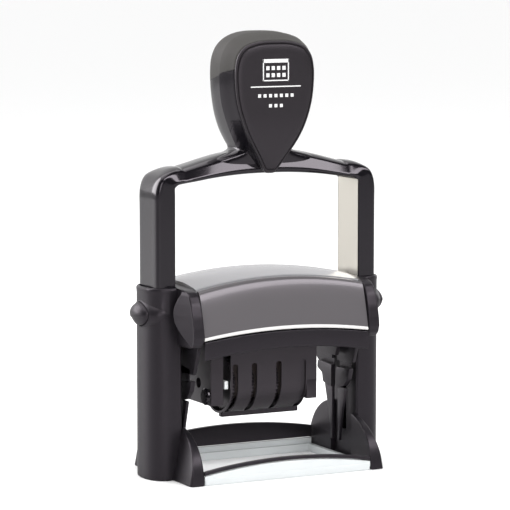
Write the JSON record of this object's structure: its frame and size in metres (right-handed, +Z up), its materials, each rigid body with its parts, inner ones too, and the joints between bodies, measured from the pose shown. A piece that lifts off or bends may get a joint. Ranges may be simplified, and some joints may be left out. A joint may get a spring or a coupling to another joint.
{
  "type": "rotary date stamp",
  "caption": "Self-inking rotary date stamp: two hollow columns, a sprung handle bow with a drop-shaped knob, a flip-over die with date bands, and a drawer ink cartridge.",
  "frame": {"origin": "on the table under the middle of the base", "axes": "+Z up, -Y the front with the label and the ink drawer, +X to the right seen from the front"},
  "size_m": [0.0922, 0.044, 0.1464],
  "materials": {
    "satin_black": "fine-grained satin black moulded plastic",
    "gloss_black": "glossy black moulded plastic",
    "panel_grey": "glossy warm mid-grey plastic",
    "cover_grey": "glossy light grey plastic",
    "brushed_steel": "brushed strip steel",
    "spring_steel": "drawn spring wire",
    "clear_plastic": "clear moulded plastic",
    "soft_cap": "matt soft-touch rubber",
    "label_black": "satin charcoal plate",
    "mechanism_black": "satin black plastic of the date unit",
    "white_plastic": "plain white plastic",
    "die_rubber": "red die rubber",
    "band_rubber": "dark band rubber",
    "ink_felt": "ink-soaked felt"
  },
  "bodies": {
    "base": {"column_left": "satin_black", "column_right": "satin_black", "side_wall_left": "satin_black", "side_wall_right": "satin_black", "clear_base_frame": "clear_plastic", "front_rail": "satin_black", "rear_rail": "satin_black", "top_cover": "cover_grey", "rear_panel": "panel_grey", "skirt_front": "satin_black", "skirt_rear": "satin_black", "return_spring_left": "spring_steel", "return_spring_right": "spring_steel"},
    "handle": {"handle_bow": "gloss_black", "side_strip_left": "brushed_steel", "side_strip_right": "brushed_steel", "axle_pin_left": "brushed_steel", "axle_pin_right": "brushed_steel", "knob_core": "gloss_black", "knob_cap": "soft_cap", "label_plate": "label_black"},
    "rotor": {"rotor_frame": "mechanism_black", "text_plate": "mechanism_black", "text_die": "die_rubber", "date_cover": "mechanism_black", "end_block_left": "mechanism_black", "end_block_right": "mechanism_black", "date_knob": "gloss_black", "wheel_axle": "white_plastic", "band_bridge": "mechanism_black", "date_band_1": "band_rubber", "date_band_2": "band_rubber", "date_band_3": "band_rubber", "date_band_4": "band_rubber"},
    "wheel_1": {"date_wheel_1": "mechanism_black"},
    "wheel_2": {"date_wheel_2": "mechanism_black"},
    "wheel_3": {"date_wheel_3": "mechanism_black"},
    "wheel_4": {"date_wheel_4": "mechanism_black"},
    "lock_left": {"lock_button_left": "satin_black"},
    "lock_right": {"lock_button_right": "satin_black"},
    "cartridge": {"cartridge_panel": "panel_grey", "cartridge_tray": "satin_black", "felt_pad": "ink_felt"}
  },
  "joints": [
    {"name": "handle_press", "type": "slide", "parent": "base", "child": "handle", "axis": [0, 0, -1], "range_m": [0, 0.03], "stiffness_N_per_m": 350, "springref_m": -0.022, "deforming": ["return_spring_left", "return_spring_right"]},
    {"name": "rotor_flip", "type": "hinge", "parent": "handle", "child": "rotor", "pos_m": [0, 0, 0.0423], "axis": [1, 0, 0], "range_deg": [0, 180]},
    {"name": "date_wheel_1_turn", "type": "hinge", "parent": "rotor", "child": "wheel_1", "pos_m": [-0.0139, 0, 0.0303], "axis": [1, 0, 0], "continuous": true},
    {"name": "date_wheel_2_turn", "type": "hinge", "parent": "rotor", "child": "wheel_2", "pos_m": [-0.0069, 0, 0.0303], "axis": [1, 0, 0], "continuous": true},
    {"name": "date_wheel_3_turn", "type": "hinge", "parent": "rotor", "child": "wheel_3", "pos_m": [0.0022, 0, 0.0303], "axis": [1, 0, 0], "continuous": true},
    {"name": "date_wheel_4_turn", "type": "hinge", "parent": "rotor", "child": "wheel_4", "pos_m": [0.0114, 0, 0.0303], "axis": [1, 0, 0], "continuous": true},
    {"name": "lock_left_press", "type": "slide", "parent": "base", "child": "lock_left", "axis": [1, 0, 0], "range_m": [0, 0.0015], "stiffness_N_per_m": 1000, "springref_m": -0.001},
    {"name": "lock_right_press", "type": "slide", "parent": "base", "child": "lock_right", "axis": [-1, 0, 0], "range_m": [0, 0.0015], "stiffness_N_per_m": 1000, "springref_m": -0.001},
    {"name": "cartridge_slide", "type": "slide", "parent": "base", "child": "cartridge", "axis": [0, -1, 0], "range_m": [0, 0.055]}
  ],
  "couplings": [
    {"joint": "rotor_flip", "follows": "handle_press", "rad_per_m": 104.72}
  ]
}
